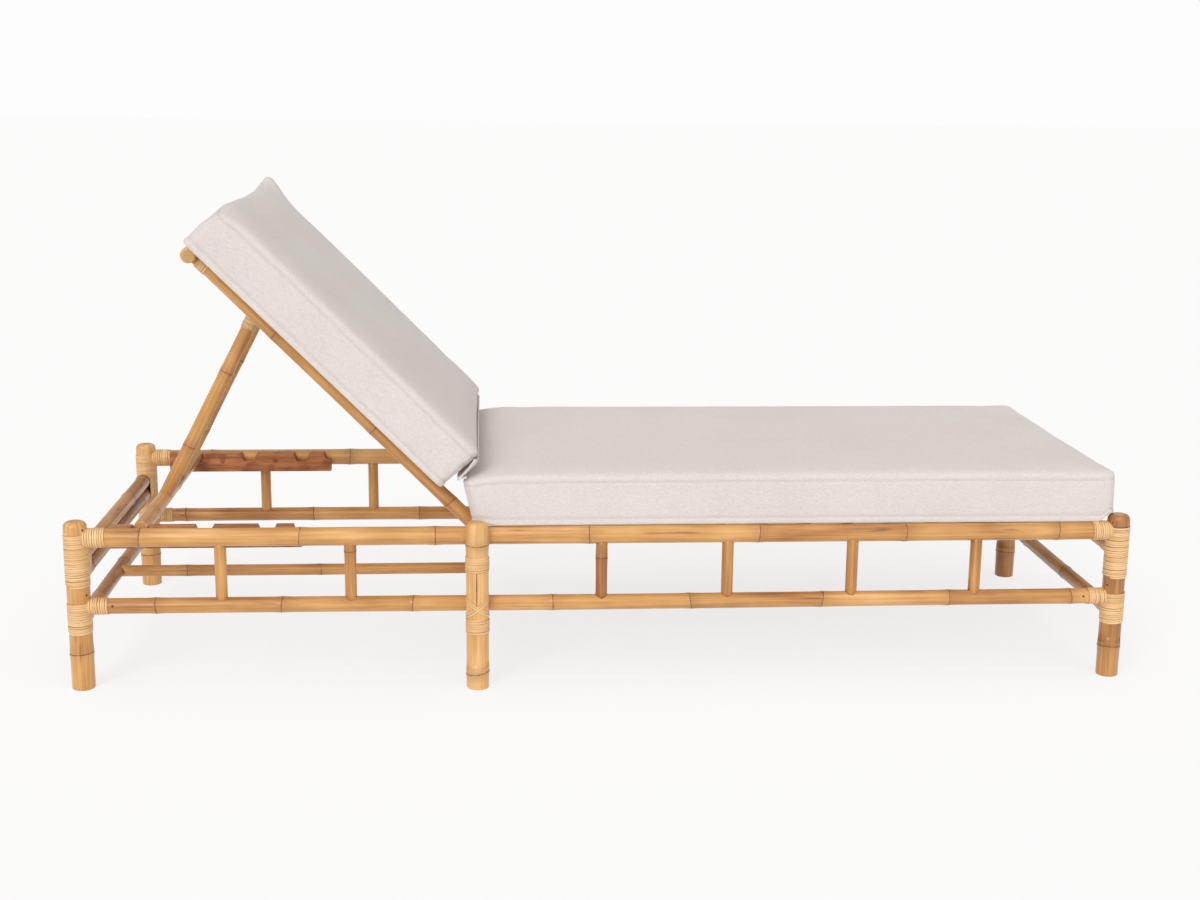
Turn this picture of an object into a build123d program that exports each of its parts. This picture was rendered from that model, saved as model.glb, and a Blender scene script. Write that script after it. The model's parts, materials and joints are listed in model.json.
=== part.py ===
from build123d import *
import os
from math import cos, pi, radians, sin, sqrt

# A rattan sun lounger: a fixed six-legged base, a hinged back frame and a notched prop.
# X runs along the bed with the foot end at +X, Y across it, Z up from the floor.
# The origin is on the floor at the middle of the base. "right" is -Y, "left" is +Y.
# Distances named "from the head" start at the axis of the two head legs.

# Legs
corner_leg_spacing = 1958.0
side_spacing = 660.0
leg_diameter = 42.0
leg_crown = 15.0
leg_crown_rounding = 10.0
middle_leg_from_head = 735.0
middle_leg_lap = 25.0

# Long rails on each side, heights to their axes
top_rail_height = 290.0
top_rail_diameter = 34.0
lower_rail_height = 159.0
lower_rail_diameter = 29.0

# Rails across the ends and the middle, placed from the long rails
head_upper_below_rail = 43.0
head_end_diameter = 30.0
head_end_gap = 1.0
foot_upper_below_rail = 40.0
foot_upper_diameter = 28.0
lower_cross_diameter = 27.0
cross_rail_gap = 3.0
seat_bearer_diameter = 28.0
stretcher_diameter = 23.0

# Short uprights between the long rails
spindle_diameter = 22.0
spindle_pitch = 238.5
head_spindle_from_head = 261.0
head_spindle_margin = 200.0
foot_spindle_from_middle = 233.0
foot_spindle_margin = 200.0

# Round slats under the seat cushion, the first one past the hinge
seat_slat_diameter = 20.0
seat_slat_past_hinge = 49.0
seat_slat_pitch = 82.0
seat_slat_margin = 100.0
slat_below_rail_top = 1.0

# Tenons on the ends of every cross piece
tenon_diameter = 12.0
tenon_depth = 9.0
slim_tenon_diameter = 9.0
fit_clearance = 0.1

# Notched racks that hold the prop
rack_past_binding = 2.3
rack_length = 351.0
rack_height = 40.0
rack_thickness = 18.0
rack_seat = 6.0
rack_below_rail_top = 1.0
rack_end_scoop = 15.0
first_notch_along_rack = 57.0
notch_pitch = 115.0
notch_count = 3
notch_depth = 18.0
notch_mouth = 34.0
notch_floor = 21.0
rack_screw_diameter = 5.0
rack_screw_head_diameter = 9.0
rack_screw_head_depth = 3.0
rack_screw_reach = 12.0

# Back frame, measured along the back from the hinge
hinge_past_middle_leg = 1.0
back_angle = 45.0
back_length = 729.0
back_rail_inset = 52.0
back_rail_diameter = 28.0
back_rail_top_diameter = 20.0
back_rail_tail = 18.0
top_bar_diameter = 29.0
top_bar_overhang = 27.0
back_slat_diameter = 18.0
back_slat_rise = 4.0
back_slat_pitch = 90.0
back_slat_margin = 120.0
top_slat_binding_gap = 4.0

# Hinge bolts
hinge_pin_diameter = 10.0
hinge_pin_skin = 6.0
hinge_running_clearance = 0.06
hinge_side_play = 0.3
hinge_spacer_diameter = 18.0
washer_diameter = 20.0
washer_thickness = 2.0
nut_across_flats = 17.0
nut_thickness = 6.0
hinge_pin_end = 1.0
lap_pin_diameter = 8.0
lap_pin_skin = 2.0
lap_pin_reach = 6.0

# Prop: two legs on a pivot rod and one crossbar that drops into the notches
prop_pivot_from_bar = 145.0
prop_leg_spread = 160.0
prop_leg_diameter = 26.0
crossbar_diameter = 28.0
crossbar_end_gap = 4.0
notch_seat_gap = 0.3
pivot_rod_diameter = 12.0
pivot_running_clearance = 0.06

# Peeled cane bindings; the loops of a winding follow from its length and the least gap
cane_width = 3.6
cane_thickness = 1.7
cane_seat_gap = 0.15
cane_least_gap = 0.44
rail_binding_length = 32.0
rail_binding_gap = 0.85
leg_binding_length = 32.0
leg_binding_below_rail = 15.0
upper_sleeve_below_rail_top = 5.0
upper_sleeve_past_end_rail = 3.0
lower_sleeve_above_rail_axis = 12.0
lower_sleeve_past_cross_rail = 7.5
middle_sleeve_below_rail = 6.5
middle_sleeve_past_cross_rail = 8.5
back_binding_length = 26.0
back_binding_bar_gap = 1.5
prop_binding_from_pivot = 34.0
prop_binding_length = 40.0
sleeve_clearance = 0.4

# Cushions
cushion_overhang = 8.0
cushion_side = 97.0
cushion_crown = 8.0
cushion_corner = 34.0
cushion_edge_roll = 15.0
cushion_draw_in = 5.0
cushion_rest_gap = 0.3
seat_foot_short_of_leg = 5.0
seat_head_past_hinge = 8.0
seat_head_lean = 0.38
leg_relief = 0.8
back_cushion_from_hinge = 108.0
back_cushion_past_bar = 26.0

# Values that follow from the sizes above
leg_radius = leg_diameter / 2
top_rail_radius = top_rail_diameter / 2
lower_rail_radius = lower_rail_diameter / 2
half_width = side_spacing / 2
rail_top = top_rail_height + top_rail_radius
leg_height = rail_top + leg_crown
head_upper_height = top_rail_height - head_upper_below_rail
head_second_height = head_upper_height - head_end_diameter - head_end_gap
foot_upper_height = top_rail_height - foot_upper_below_rail
lower_cross_radius = lower_cross_diameter / 2
lower_cross_height = lower_rail_height - lower_rail_radius - cross_rail_gap - lower_cross_radius
hinge_from_head = middle_leg_from_head + hinge_past_middle_leg
binding_start = leg_radius + cane_seat_gap + cane_thickness + rail_binding_gap
rack_from_head = binding_start + rail_binding_length + rack_past_binding
notch_from_head = rack_from_head + first_notch_along_rack
prop_pivot_along_back = back_length - prop_pivot_from_bar
back_binding_from_bar = top_bar_diameter / 2 + back_binding_bar_gap
cushion_width = side_spacing + 2 * cushion_overhang
SIDES = {"right": -1, "left": 1}


def from_head(distance):
    return distance - corner_leg_spacing / 2


head_x = from_head(0)
foot_x = from_head(corner_leg_spacing)
middle_x = from_head(middle_leg_from_head)
hinge_x = from_head(hinge_from_head)
middle_leg_y = half_width + middle_leg_lap
back_rail_y = half_width - back_rail_inset

# Back frame directions: along the back from the hinge, and out of its cushion side
along = Vector(-cos(radians(back_angle)), 0, sin(radians(back_angle)))
outward = Vector(sin(radians(back_angle)), 0, cos(radians(back_angle)))
hinge = Vector(hinge_x, 0, top_rail_height)


def on_back(distance, y, rise=0.0):
    return hinge + along * distance + outward * rise + Vector(0, y, 0)


def back_rail_radius(distance):
    share = distance / back_length
    return (back_rail_diameter + (back_rail_top_diameter - back_rail_diameter) * share) / 2


def rod(start, end, radius, end_radius=None):
    axis = Vector(end) - Vector(start)
    plane = Plane(origin=start, z_dir=axis)
    if end_radius is None:
        return Solid.make_cylinder(radius, axis.length, plane)
    return Solid.make_cone(radius, end_radius, axis.length, plane)


def grown(start, end, radius, extra):
    """The space that a pole and a clearance take up, a little longer than the pole."""
    axis = (Vector(end) - Vector(start)).normalized()
    return rod(Vector(start) - axis * radius, Vector(end) + axis * radius, radius + extra)


# Pieces by node name, and the holes that later pieces need in them
pieces = {}
holes = {}


def add(name, solid):
    pieces.setdefault(name, []).append(solid)


def bore(name, cutter):
    holes.setdefault(name, []).append(cutter)


def tenoned(name, start, end, radius, carriers, tenon=tenon_diameter / 2):
    """A pole between two carriers, coped to both and held in them by turned tenons.

    Each carrier is its node name, its own space and its radius; start and end lie on
    the carriers' axes.
    """
    start = Vector(start)
    end = Vector(end)
    axis = (end - start).normalized()
    body = rod(start, end, radius)
    for _, space, _ in carriers:
        body = body - space
    first_reach = axis * (carriers[0][2] - tenon_depth)
    last_reach = axis * (carriers[1][2] - tenon_depth)
    core = rod(start + first_reach, end - last_reach, tenon)
    add(name, (body + core).solid())
    for node, _, _ in carriers:
        slack = axis * fit_clearance
        bore(node, rod(start + first_reach - slack, end - last_reach + slack, tenon + fit_clearance))


# Legs
def leg(x, y):
    post = rod((x, y, 0), (x, y, leg_height), leg_radius)
    crown_edge = post.edges().sort_by(Axis.Z)[-1]
    return fillet(crown_edge, min(leg_crown_rounding, 0.8 * leg_radius)).solid()


def leg_space(x, y):
    return rod((x, y, -leg_radius), (x, y, leg_height + leg_radius), leg_radius + fit_clearance)


leg_spaces = {}
for side, sign in SIDES.items():
    places = {
        "head": (head_x, sign * half_width),
        "middle": (middle_x, sign * middle_leg_y),
        "foot": (foot_x, sign * half_width),
    }
    for place, (x, y) in places.items():
        name = f"{place}_leg_{side}"
        add(name, leg(x, y))
        leg_spaces[name] = (name, leg_space(x, y), leg_radius)

# Long side rails, coped to the corner legs; the middle legs are notched over them
rail_spaces = {}
for side, sign in SIDES.items():
    y = sign * half_width
    ends = [leg_spaces[f"head_leg_{side}"], leg_spaces[f"foot_leg_{side}"]]
    for level, height, radius in (
        ("top", top_rail_height, top_rail_radius),
        ("lower", lower_rail_height, lower_rail_radius),
    ):
        name = f"{level}_rail_{side}"
        start = (head_x, y, height)
        end = (foot_x, y, height)
        tenoned(name, start, end, radius, ends)
        rail_spaces[name] = (name, grown(start, end, radius, fit_clearance), radius)
        bore(f"middle_leg_{side}", rail_spaces[name][1])

# Rails across the ends, from leg to leg
cross_rails = (
    ("head_upper_end_rail", "head", head_x, head_upper_height, head_end_diameter / 2),
    ("head_second_end_rail", "head", head_x, head_second_height, head_end_diameter / 2),
    ("head_lower_end_rail", "head", head_x, lower_cross_height, lower_cross_radius),
    ("foot_upper_end_rail", "foot", foot_x, foot_upper_height, foot_upper_diameter / 2),
    ("foot_lower_end_rail", "foot", foot_x, lower_cross_height, lower_cross_radius),
    ("middle_lower_cross_rail", "middle", middle_x, lower_cross_height, lower_cross_radius),
)
cross_spaces = {}
for name, place, x, height, radius in cross_rails:
    reach = middle_leg_y if place == "middle" else half_width
    start = (x, -reach, height)
    end = (x, reach, height)
    tenoned(name, start, end, radius, [leg_spaces[f"{place}_leg_right"], leg_spaces[f"{place}_leg_left"]])
    cross_spaces[name] = (name, grown(start, end, radius, fit_clearance), radius)


def places_between(first, last, pitch):
    """Places at a steady pitch from the first one up to the last that still fits."""
    return [first + index * pitch for index in range(int((last - first) // pitch) + 1)]


# Seat bearer at the head of the seat, then the slats, all level just under the rails' tops
top_rails = [rail_spaces["top_rail_right"], rail_spaces["top_rail_left"]]
seat_level = rail_top - slat_below_rail_top
slat_places = places_between(
    hinge_from_head + seat_slat_past_hinge, corner_leg_spacing - seat_slat_margin, seat_slat_pitch
)
for index, place in enumerate(slat_places):
    x = from_head(place)
    name = "seat_slats" if index else "seat_bearer"
    radius = (seat_slat_diameter if index else seat_bearer_diameter) / 2
    start = (x, -half_width, seat_level - radius)
    end = (x, half_width, seat_level - radius)
    tenoned(name, start, end, radius, top_rails, slim_tenon_diameter / 2)

# Long stretcher on the centre line, from the head end to the middle cross rail
tenoned(
    "center_stretcher",
    (head_x, 0, lower_cross_height),
    (middle_x, 0, lower_cross_height),
    stretcher_diameter / 2,
    [cross_spaces["head_lower_end_rail"], cross_spaces["middle_lower_cross_rail"]],
)

# Short uprights between the long rails
spindle_places = places_between(
    head_spindle_from_head, middle_leg_from_head - head_spindle_margin, spindle_pitch
)
spindle_places += places_between(
    middle_leg_from_head + foot_spindle_from_middle, corner_leg_spacing - foot_spindle_margin, spindle_pitch
)
for side, sign in SIDES.items():
    carriers = [rail_spaces[f"lower_rail_{side}"], rail_spaces[f"top_rail_{side}"]]
    for place in spindle_places:
        x = from_head(place)
        y = sign * half_width
        start = (x, y, lower_rail_height)
        end = (x, y, top_rail_height)
        tenoned(f"spindles_{side}", start, end, spindle_diameter / 2, carriers)

# Notched racks on the inner faces of the top rails
rack_top = rail_top - rack_below_rail_top
notch_bottom = rack_top - notch_depth
rack_inner_y = half_width - top_rail_radius - rack_thickness


def rack_profile():
    """Side view of a rack: a board with a scooped end and slanted notches in its top."""
    start = from_head(rack_from_head)
    end = start + rack_length
    bottom = rack_top - rack_height
    middle = ((start + end) / 2, (rack_top + bottom) / 2)
    board = Pos(*middle) * Rectangle(rack_length, rack_height)
    board -= Pos(end, rack_top) * Circle(rack_end_scoop)
    for index in range(notch_count):
        x = from_head(notch_from_head + index * notch_pitch)
        board -= Polygon(
            (x - notch_mouth / 2, rack_top),
            (x - notch_floor / 2, notch_bottom),
            (x + notch_floor / 2, notch_bottom),
            (x + notch_mouth / 2, rack_top),
            align=None,
        )
    return board


screw_places = [notch_from_head + (index + 0.5) * notch_pitch for index in range(notch_count - 1)]
for side, sign in SIDES.items():
    width = rack_thickness + rack_seat
    outline = Plane.XZ.offset(-sign * (rack_inner_y + (width if sign < 0 else 0))) * rack_profile()
    board = extrude(outline, amount=-width)
    board = board - rail_spaces[f"top_rail_{side}"][1]
    add(f"rack_{side}", board.solid())
    for place in screw_places:
        x = from_head(place)
        inner = Vector(x, sign * rack_inner_y, top_rail_height)
        inward = Vector(0, sign, 0)
        tip = inner + inward * (rack_thickness + rack_screw_reach)
        under_head = inner + inward * rack_screw_head_depth
        shank = rod(under_head, tip, rack_screw_diameter / 2)
        head = rod(inner, under_head, rack_screw_head_diameter / 2)
        add("rack_screws", (shank + head).solid())
        slack = inward * fit_clearance
        hole = rod(inner - slack, tip + slack, rack_screw_diameter / 2 + fit_clearance)
        sink = rod(inner - slack, under_head + slack, rack_screw_head_diameter / 2 + fit_clearance)
        bore(f"rack_{side}", hole)
        bore(f"rack_{side}", sink)
        bore(f"top_rail_{side}", hole)

# Back frame: tapered side rails, a top bar over their ends, and slats between them
bar_start = on_back(back_length, -back_rail_y - top_bar_overhang)
bar_end = on_back(back_length, back_rail_y + top_bar_overhang)
bar_radius = top_bar_diameter / 2
top_bar = rod(bar_start, bar_end, bar_radius)
add("back_top_bar", fillet(top_bar.edges().filter_by(GeomType.CIRCLE), bar_radius / 4).solid())
bar_space = grown(bar_start, bar_end, bar_radius, fit_clearance)
for side, sign in SIDES.items():
    y = sign * back_rail_y
    name = f"back_rail_{side}"
    tail = on_back(-back_rail_tail, y)
    pole = rod(tail, on_back(back_length, y), back_rail_radius(-back_rail_tail), back_rail_top_diameter / 2)
    tail_edge = pole.edges().filter_by(GeomType.CIRCLE).sort_by(Axis.Z)[0]
    pole = fillet(tail_edge, back_rail_diameter / 5).solid() - bar_space
    core_start = on_back(back_length - bar_radius - tenon_depth, y)
    core_end = on_back(back_length - bar_radius + tenon_depth, y)
    core = rod(core_start, core_end, tenon_diameter / 2)
    add(name, (pole + core).solid())
    core_hole = rod(core_start, core_end + along * fit_clearance, tenon_diameter / 2 + fit_clearance)
    bore("back_top_bar", core_hole)


def back_carriers(distance):
    """The two back rails as carriers of a cross piece at one distance from the hinge."""
    found = []
    for side, sign in SIDES.items():
        y = sign * back_rail_y
        space = rod(
            on_back(-back_rail_tail, y),
            on_back(back_length, y),
            back_rail_radius(-back_rail_tail) + fit_clearance,
            back_rail_top_diameter / 2 + fit_clearance,
        )
        found.append((f"back_rail_{side}", space, back_rail_radius(distance)))
    return found


# One slat above the prop's pivot, under the bindings, and the others down to the hinge
back_slat_radius = back_slat_diameter / 2
top_slat = back_length - back_binding_from_bar - back_binding_length - top_slat_binding_gap - back_slat_radius
pivot_to_lowest = prop_pivot_along_back - back_slat_margin
lower_slats = places_between(back_slat_pitch, pivot_to_lowest, back_slat_pitch)
for distance in [prop_pivot_along_back - drop for drop in lower_slats] + [top_slat]:
    start = on_back(distance, -back_rail_y, back_slat_rise)
    end = on_back(distance, back_rail_y, back_slat_rise)
    tenoned("back_slats", start, end, back_slat_radius, back_carriers(distance), slim_tenon_diameter / 2)

# Hinge bolts: each runs from the middle leg through the top rail and the back rail's foot
pin_radius = hinge_pin_diameter / 2
for side, sign in SIDES.items():
    def at(y):
        return Vector(hinge_x, sign * y, top_rail_height)

    rail_face = half_width - top_rail_radius
    outer_face = back_rail_y + back_rail_diameter / 2
    inner_face = back_rail_y - back_rail_diameter / 2
    washer_start = inner_face - hinge_side_play
    nut_start = washer_start - washer_thickness
    pin_end = nut_start - nut_thickness - hinge_pin_end
    pin_start = middle_leg_y + leg_radius - hinge_pin_skin
    add("hinge_pins", rod(at(pin_start), at(pin_end), pin_radius))
    fixed_bore = rod(at(pin_start + fit_clearance), at(pin_end), pin_radius + fit_clearance)
    bore(f"middle_leg_{side}", fixed_bore)
    bore(f"top_rail_{side}", fixed_bore)
    bore(f"back_rail_{side}", rod(at(pin_start), at(pin_end), pin_radius + hinge_running_clearance))
    spacer = rod(at(rail_face - fit_clearance), at(outer_face + hinge_side_play), hinge_spacer_diameter / 2)
    add("hinge_spacers", (spacer - fixed_bore).solid())
    washer = rod(at(washer_start), at(nut_start), washer_diameter / 2)
    add("hinge_washers", (washer - fixed_bore).solid())
    nut_plane = Plane(origin=at(nut_start - nut_thickness), z_dir=(0, sign, 0))
    blank = nut_plane * RegularPolygon(nut_across_flats / 2, 6, major_radius=False)
    nut = extrude(blank, amount=nut_thickness)
    add("hinge_nuts", (nut - fixed_bore).solid())

    lap_start = middle_leg_y + leg_radius - lap_pin_skin
    lap_end = half_width - lap_pin_reach
    lap_points = [Vector(middle_x, sign * y, lower_rail_height) for y in (lap_start, lap_end)]
    add("lap_pins", rod(*lap_points, lap_pin_diameter / 2))
    slack = Vector(0, sign * fit_clearance, 0)
    lap_bore = rod(lap_points[0] + slack, lap_points[1] - slack, lap_pin_diameter / 2 + fit_clearance)
    bore(f"middle_leg_{side}", lap_bore)
    bore(f"lower_rail_{side}", lap_bore)

# Prop: a pivot rod between the back rails, two legs that swing on it, and the crossbar
pivot = on_back(prop_pivot_along_back, 0)
rod_radius = pivot_rod_diameter / 2
rod_carriers = back_carriers(prop_pivot_along_back)
tenoned(
    "prop_pivot_rod",
    on_back(prop_pivot_along_back, -back_rail_y),
    on_back(prop_pivot_along_back, back_rail_y),
    rod_radius,
    rod_carriers,
    slim_tenon_diameter / 2,
)
crossbar_radius = crossbar_diameter / 2
crossbar = Vector(from_head(notch_from_head), 0, notch_bottom + notch_seat_gap + crossbar_radius)
crossbar_half = half_width - top_rail_radius - crossbar_end_gap
bar_ends = [crossbar + Vector(0, sign * crossbar_half, 0) for sign in (-1, 1)]
bar = rod(*bar_ends, crossbar_radius)
add("prop_crossbar", fillet(bar.edges().filter_by(GeomType.CIRCLE), crossbar_radius / 4).solid())
bar_zone = grown(*bar_ends, crossbar_radius, fit_clearance)
prop_axis = (crossbar - pivot).normalized()
prop_radius = prop_leg_diameter / 2
for side, sign in SIDES.items():
    offset = Vector(0, sign * prop_leg_spread / 2, 0)
    top = pivot + offset
    foot = crossbar + offset
    shank = rod(top, foot, prop_radius) - bar_zone
    knuckle = Pos(*top) * Sphere(prop_radius)
    core_start = foot - prop_axis * (crossbar_radius + tenon_depth)
    core_end = foot - prop_axis * (crossbar_radius - tenon_depth)
    core = rod(core_start, core_end, tenon_diameter / 2)
    pin = Vector(0, prop_radius + 1, 0)
    eye = rod(top - pin, top + pin, rod_radius + pivot_running_clearance)
    add(f"prop_leg_{side}", (shank + knuckle + core - eye).solid())
    slack = prop_axis * fit_clearance
    bore("prop_crossbar", rod(core_start, core_end + slack, tenon_diameter / 2 + fit_clearance))


# Cane bindings
def least_gap(points, own_reach):
    """Least distance between points of a winding that are a loop or more apart."""
    least = None
    for first in range(len(points)):
        for second in range(first + own_reach, len(points)):
            gap = (points[first] - points[second]).length
            least = gap if least is None else min(least, gap)
    return least


winding_gaps = []


def winding(start, direction, core_radius, length):
    """One unbroken strand wound round a pole, on half-turn biarcs with straight ends."""
    plane = Plane(origin=start, z_dir=direction)
    radius = core_radius + cane_seat_gap + cane_thickness / 2
    loops = int((length - cane_width) // (cane_width + cane_least_gap))
    rise = (length - cane_width) / loops
    slope = rise / (2 * pi * radius)
    run = 1 / sqrt(1 + slope**2)

    def place(turn):
        angle = 2 * pi * turn
        return Vector(radius * cos(angle), radius * sin(angle), cane_width / 2 + rise * turn)

    def heading(turn):
        angle = 2 * pi * turn
        return Vector(-sin(angle) * run, cos(angle) * run, slope * run)

    edges = [Line(place(0) - heading(0) * cane_width, place(0))]
    for step in range(2 * loops):
        first, last = step / 2, (step + 1) / 2
        p, q = place(first), place(last)
        t, u = heading(first), heading(last)
        chord = q - p
        bend = t + u
        # Equal arms of a biarc: |chord - arm * (t + u)| is twice the arm
        a = bend.dot(bend) - 4
        b = -2 * chord.dot(bend)
        c = chord.dot(chord)
        arm = (-b - sqrt(b * b - 4 * a * c)) / (2 * a)
        joint = (p + t * arm + q - u * arm) / 2
        middle_heading = ((q - u * arm) - (p + t * arm)).normalized()
        edges.append(TangentArc(p, joint, tangent=t))
        edges.append(TangentArc(joint, q, tangent=middle_heading))
    edges.append(Line(place(loops), place(loops) + heading(loops) * cane_width))
    path = Wire(edges)
    guide = Wire([Line((0, 0, place(0).Z), (0, 0, place(loops).Z))])
    origin = path.position_at(0)
    across = Plane(origin=origin, x_dir=(0, 0, 1), z_dir=heading(0))
    section = across * Ellipse(cane_width / 2, cane_thickness / 2)
    strand = sweep(section, path=path, binormal=guide)
    per_loop = 24
    points = [place(step / per_loop) for step in range(per_loop * loops + 1)]
    winding_gaps.append(least_gap(points, per_loop // 2) - cane_width)
    return plane.location * strand.solid()


def band(start, direction, core_radius, length):
    """A bound stretch of a pole as one plain wrapped layer."""
    start = Vector(start)
    reach = Vector(direction).normalized() * length
    inner = core_radius + cane_seat_gap
    layer = rod(start, start + reach, inner + cane_thickness)
    return (layer - grown(start, start + reach, inner, 0)).solid()


def sleeve(x, y, bottom, top, spaces):
    """A bound joint: the wrapped layer round a leg, open where rails come in."""
    layer = band((x, y, bottom), (0, 0, 1), leg_radius, top - bottom)
    for space in spaces:
        layer = layer - space
    return layer.solid()


def clear_of(name):
    """A rail's space with room for cane round it."""
    if name in rail_spaces:
        sign = SIDES[name.rsplit("_", 1)[1]]
        height = top_rail_height if name.startswith("top") else lower_rail_height
        radius = rail_spaces[name][2] + sleeve_clearance
        return rod((head_x, sign * half_width, height), (foot_x, sign * half_width, height), radius)
    for rail, place, x, height, radius in cross_rails:
        if rail == name:
            reach = middle_leg_y if place == "middle" else half_width
            return rod((x, -reach, height), (x, reach, height), radius + sleeve_clearance)


cross_rail_bottom = lower_cross_height - lower_cross_radius
upper_sleeve = (
    head_second_height - head_end_diameter / 2 - upper_sleeve_past_end_rail,
    rail_top - upper_sleeve_below_rail_top,
)
lower_sleeve = (
    cross_rail_bottom - lower_sleeve_past_cross_rail,
    lower_rail_height + lower_sleeve_above_rail_axis,
)
middle_sleeve = (
    cross_rail_bottom - middle_sleeve_past_cross_rail,
    lower_rail_height - lower_rail_radius - middle_sleeve_below_rail,
)
leg_binding_height = top_rail_height - top_rail_radius - leg_binding_below_rail - leg_binding_length
for side, sign in SIDES.items():
    y = sign * half_width
    for place, x, inward in (("head", head_x, 1), ("foot", foot_x, -1)):
        ends = [rail for rail, where, *_ in cross_rails if where == place]
        spaces = [clear_of(rail) for rail in ends]
        spaces += [clear_of(f"top_rail_{side}"), clear_of(f"lower_rail_{side}")]
        for bottom, top in (upper_sleeve, lower_sleeve):
            add(f"{place}_leg_bindings_{side}", sleeve(x, y, bottom, top, spaces))
        for height, radius in ((top_rail_height, top_rail_radius), (lower_rail_height, lower_rail_radius)):
            start = (x + inward * binding_start, y, height)
            add(f"rail_end_bindings_{side}", band(start, (inward, 0, 0), radius, rail_binding_length))
    y = sign * middle_leg_y
    start = (middle_x, y, leg_binding_height)
    strand = winding(start, (0, 0, 1), leg_radius, leg_binding_length)
    add(f"middle_leg_bindings_{side}", strand)
    spaces = [clear_of("middle_lower_cross_rail"), clear_of(f"lower_rail_{side}")]
    add(f"middle_leg_bindings_{side}", sleeve(middle_x, y, *middle_sleeve, spaces))

    bound_at = back_length - back_binding_from_bar
    core = back_rail_radius(bound_at - back_binding_length)
    start = on_back(bound_at, sign * back_rail_y)
    add("back_rail_bindings", band(start, -along, core, back_binding_length))
    start = pivot + Vector(0, sign * prop_leg_spread / 2, 0) + prop_axis * prop_binding_from_pivot
    add("prop_bindings", winding(start, prop_axis, prop_radius, prop_binding_length))


# Cushions: soft boxes with rolled edges, drawn-in sides and a crowned top
def cushion_section(low, high, half, height):
    """One level of a cushion: rounded corners joined by sides that bow inwards."""
    corner = min(cushion_corner, half / 3)
    swing = corner * (1 - sqrt(0.5))
    middle = (low + high) / 2
    pull = cushion_draw_in
    edges = [
        ThreePointArc((low + corner, -half), (middle, -half + pull), (high - corner, -half)),
        ThreePointArc((high - corner, -half), (high - swing, -half + swing), (high, -half + corner)),
        ThreePointArc((high, -half + corner), (high - pull, 0), (high, half - corner)),
        ThreePointArc((high, half - corner), (high - swing, half - swing), (high - corner, half)),
        ThreePointArc((high - corner, half), (middle, half - pull), (low + corner, half)),
        ThreePointArc((low + corner, half), (low + swing, half - swing), (low, half - corner)),
        ThreePointArc((low, half - corner), (low + pull, 0), (low, -half + corner)),
        ThreePointArc((low, -half + corner), (low + swing, -half + swing), (low + corner, -half)),
    ]
    return Pos(0, 0, height) * make_face(edges)


def cushion(low, high, lean):
    """A cushion on the plane Z = 0 between two X ends; its low end leans with height."""
    roll = cushion_edge_roll
    levels = (
        (0.0, roll),
        (0.3 * roll, 0.3 * roll),
        (roll, 0.0),
        (cushion_side - roll, 0.0),
        (cushion_side - 0.3 * roll, 0.3 * roll),
        (cushion_side, roll),
        (cushion_side + 0.7 * cushion_crown, 6 * roll),
        (cushion_side + cushion_crown, 12 * roll),
    )
    sections = []
    for height, inset in levels:
        start = low - lean * min(height, cushion_side) + inset
        sections.append(cushion_section(start, high - inset, cushion_width / 2 - inset, height))
    return loft(sections, ruled=True)


bound_rail_top = rail_top + cane_seat_gap + cane_thickness
seat_low = hinge_x + seat_head_past_hinge
seat_high = foot_x - seat_foot_short_of_leg
seat = Pos(0, 0, bound_rail_top + cushion_rest_gap) * cushion(seat_low, seat_high, seat_head_lean)
for name in leg_spaces:
    post = pieces[name][0].bounding_box()
    middle = post.center()
    seat = seat - rod(
        (middle.X, middle.Y, 0),
        (middle.X, middle.Y, leg_height + leg_relief),
        leg_radius + leg_relief,
    )
add("seat_cushion", seat.solid())

back_rise = max(back_rail_diameter, top_bar_diameter) / 2 + cushion_rest_gap
back_plane = Plane(origin=hinge + outward * back_rise, x_dir=along, z_dir=outward)
back_pad = cushion(back_cushion_from_hinge, back_length + back_cushion_past_bar, 0.0)
add("back_cushion", (back_plane.location * back_pad).solid())

# Cut the holes, then write one file for each node
for name, cutters in holes.items():
    solids = []
    for solid in pieces[name]:
        for cutter in cutters:
            solid = solid - cutter
        solids += solid.solids()
    pieces[name] = solids

print("least gap inside a winding, mm:", round(min(winding_gaps), 2))
os.makedirs("parts", exist_ok=True)
for name, solids in pieces.items():
    shape = solids[0] if len(solids) == 1 else Compound(children=solids)
    export_step(shape, f"parts/{name}.step")
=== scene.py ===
import json
import math
import random

import bpy
from mathutils import Matrix, Vector, noise


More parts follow.
